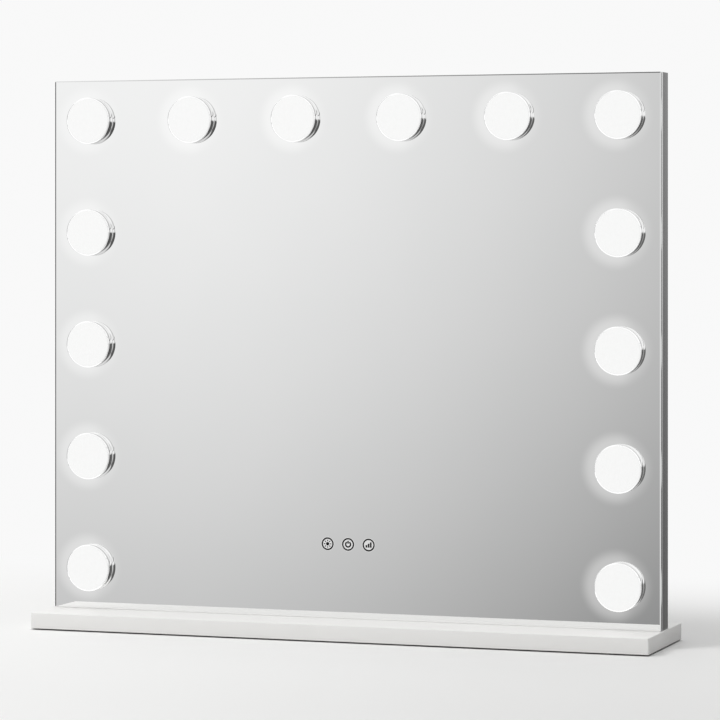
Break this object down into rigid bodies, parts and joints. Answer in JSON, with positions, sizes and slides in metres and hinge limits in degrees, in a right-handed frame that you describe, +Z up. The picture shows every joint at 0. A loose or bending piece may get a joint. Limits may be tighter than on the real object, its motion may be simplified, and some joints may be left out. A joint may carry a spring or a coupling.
{
  "type": "lighted vanity mirror",
  "caption": "Rectangular table mirror with round lamps across the top and down both sides, touch icons low in the glass, and a flat white base.",
  "frame": {"origin": "middle of the footprint, on the surface that the feet stand on", "axes": "+X across the mirror to the viewer's right, +Y from the mirror face to the back, +Z up"},
  "size_m": [0.603, 0.125, 0.523],
  "materials": {
    "mirror": "silvered float glass with ground and polished edges",
    "foam_tape": "white double-sided foam tape",
    "frame_aluminium": "satin silver anodised extrusion",
    "corner_zinc": "dull zinc-plated angle",
    "lamp_chrome": "bright chrome plating",
    "opal_lens": "satin opal diffuser, lit evenly from behind",
    "led_board": "white solder mask with yellow LED chips",
    "plated_steel": "bright zinc-plated steel",
    "wire_insulation": "PVC insulated twin wire",
    "icon_print": "black screen print on the glass",
    "circuit_board": "green solder mask",
    "ribbon_cable": "grey flat ribbon",
    "black_plastic": "moulded black plastic",
    "back_sheet": "fine-textured white powder coat",
    "base_lacquer": "satin white lacquer over fibreboard",
    "foot_rubber": "matt black rubber"
  },
  "bodies": {
    "root": {"mirror_glass": "mirror", "mirror_tape": "foam_tape", "frame_top": "frame_aluminium", "frame_bottom": "frame_aluminium", "frame_left": "frame_aluminium", "frame_right": "frame_aluminium", "corner_key_top_left": "corner_zinc", "corner_key_top_right": "corner_zinc", "corner_key_bottom_left": "corner_zinc", "corner_key_bottom_right": "corner_zinc", "lamp_rim_1": "lamp_chrome", "lamp_rim_2": "lamp_chrome", "lamp_rim_3": "lamp_chrome", "lamp_rim_4": "lamp_chrome", "lamp_rim_5": "lamp_chrome", "lamp_rim_6": "lamp_chrome", "lamp_rim_7": "lamp_chrome", "lamp_rim_8": "lamp_chrome", "lamp_rim_9": "lamp_chrome", "lamp_rim_10": "lamp_chrome", "lamp_rim_11": "lamp_chrome", "lamp_rim_12": "lamp_chrome", "lamp_rim_13": "lamp_chrome", "lamp_rim_14": "lamp_chrome", "lamp_cap_1": "opal_lens", "lamp_cap_2": "opal_lens", "lamp_cap_3": "opal_lens", "lamp_cap_4": "opal_lens", "lamp_cap_5": "opal_lens", "lamp_cap_6": "opal_lens", "lamp_cap_7": "opal_lens", "lamp_cap_8": "opal_lens", "lamp_cap_9": "opal_lens", "lamp_cap_10": "opal_lens", "lamp_cap_11": "opal_lens", "lamp_cap_12": "opal_lens", "lamp_cap_13": "opal_lens", "lamp_cap_14": "opal_lens", "lamp_boards": "led_board", "lamp_nuts": "plated_steel", "power_inlet_nut": "plated_steel", "back_panel_screws": "plated_steel", "hanger_left": "plated_steel", "hanger_right": "plated_steel", "base_screws": "plated_steel", "lamp_wiring": "wire_insulation", "touch_icon_mode": "icon_print", "touch_icon_power": "icon_print", "touch_icon_brightness": "icon_print", "touch_board": "circuit_board", "control_board": "circuit_board", "touch_lead": "ribbon_cable", "power_inlet": "black_plastic", "power_lead": "black_plastic", "back_panel": "back_sheet", "base": "base_lacquer", "rubber_feet": "foot_rubber"}
  },
  "joints": []
}
